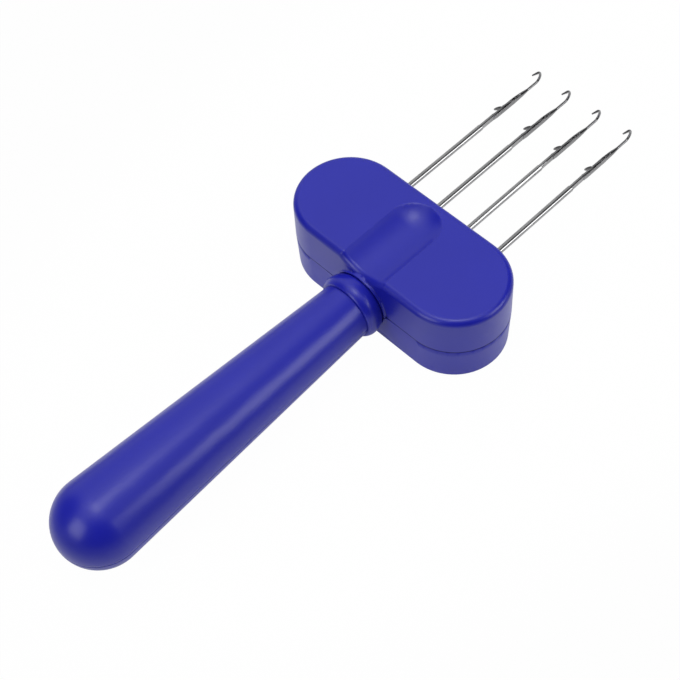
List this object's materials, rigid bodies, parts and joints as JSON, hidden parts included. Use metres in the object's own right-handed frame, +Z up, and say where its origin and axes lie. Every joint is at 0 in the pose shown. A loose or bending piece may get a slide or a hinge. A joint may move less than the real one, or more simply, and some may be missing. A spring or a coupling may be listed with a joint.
{
  "type": "hand-held cord maker",
  "caption": "Hand-held knitted-cord maker: hooked latch needles in a row, clamped in a rounded plastic head on a bulbous handle.",
  "frame": {"origin": "centre of the head's flat underside, on the surface that it rests on", "axes": "+X from the handle towards the needles' hooks, +Y across the head, +Z up, out of the flat top face"},
  "size_m": [0.199, 0.0704, 0.025],
  "materials": {
    "blue_plastic": "satin moulded royal blue",
    "needle_steel": "bright nickel-plated steel",
    "screw_steel": "zinc-plated steel"
  },
  "bodies": {
    "head_and_handle": {"top_shell": "blue_plastic", "bottom_shell": "blue_plastic", "shell_screws": "screw_steel", "handle": "blue_plastic", "handle_collar": "blue_plastic", "needle_1": "needle_steel", "needle_2": "needle_steel", "needle_3": "needle_steel", "needle_4": "needle_steel", "latch_rivet_1": "needle_steel", "latch_rivet_2": "needle_steel", "latch_rivet_3": "needle_steel", "latch_rivet_4": "needle_steel"},
    "latch_1": {"latch_1": "needle_steel"},
    "latch_2": {"latch_2": "needle_steel"},
    "latch_3": {"latch_3": "needle_steel"},
    "latch_4": {"latch_4": "needle_steel"}
  },
  "joints": [
    {"name": "latch_1_pivot", "type": "hinge", "parent": "head_and_handle", "child": "latch_1", "pos_m": [0.0673, 0.01704, 0.0128], "axis": [0, 1, 0], "range_deg": [0, 132]},
    {"name": "latch_2_pivot", "type": "hinge", "parent": "head_and_handle", "child": "latch_2", "pos_m": [0.0673, 0.00568, 0.0128], "axis": [0, 1, 0], "range_deg": [0, 132]},
    {"name": "latch_3_pivot", "type": "hinge", "parent": "head_and_handle", "child": "latch_3", "pos_m": [0.0673, -0.00568, 0.0128], "axis": [0, 1, 0], "range_deg": [0, 132]},
    {"name": "latch_4_pivot", "type": "hinge", "parent": "head_and_handle", "child": "latch_4", "pos_m": [0.0673, -0.01704, 0.0128], "axis": [0, 1, 0], "range_deg": [0, 132]}
  ]
}
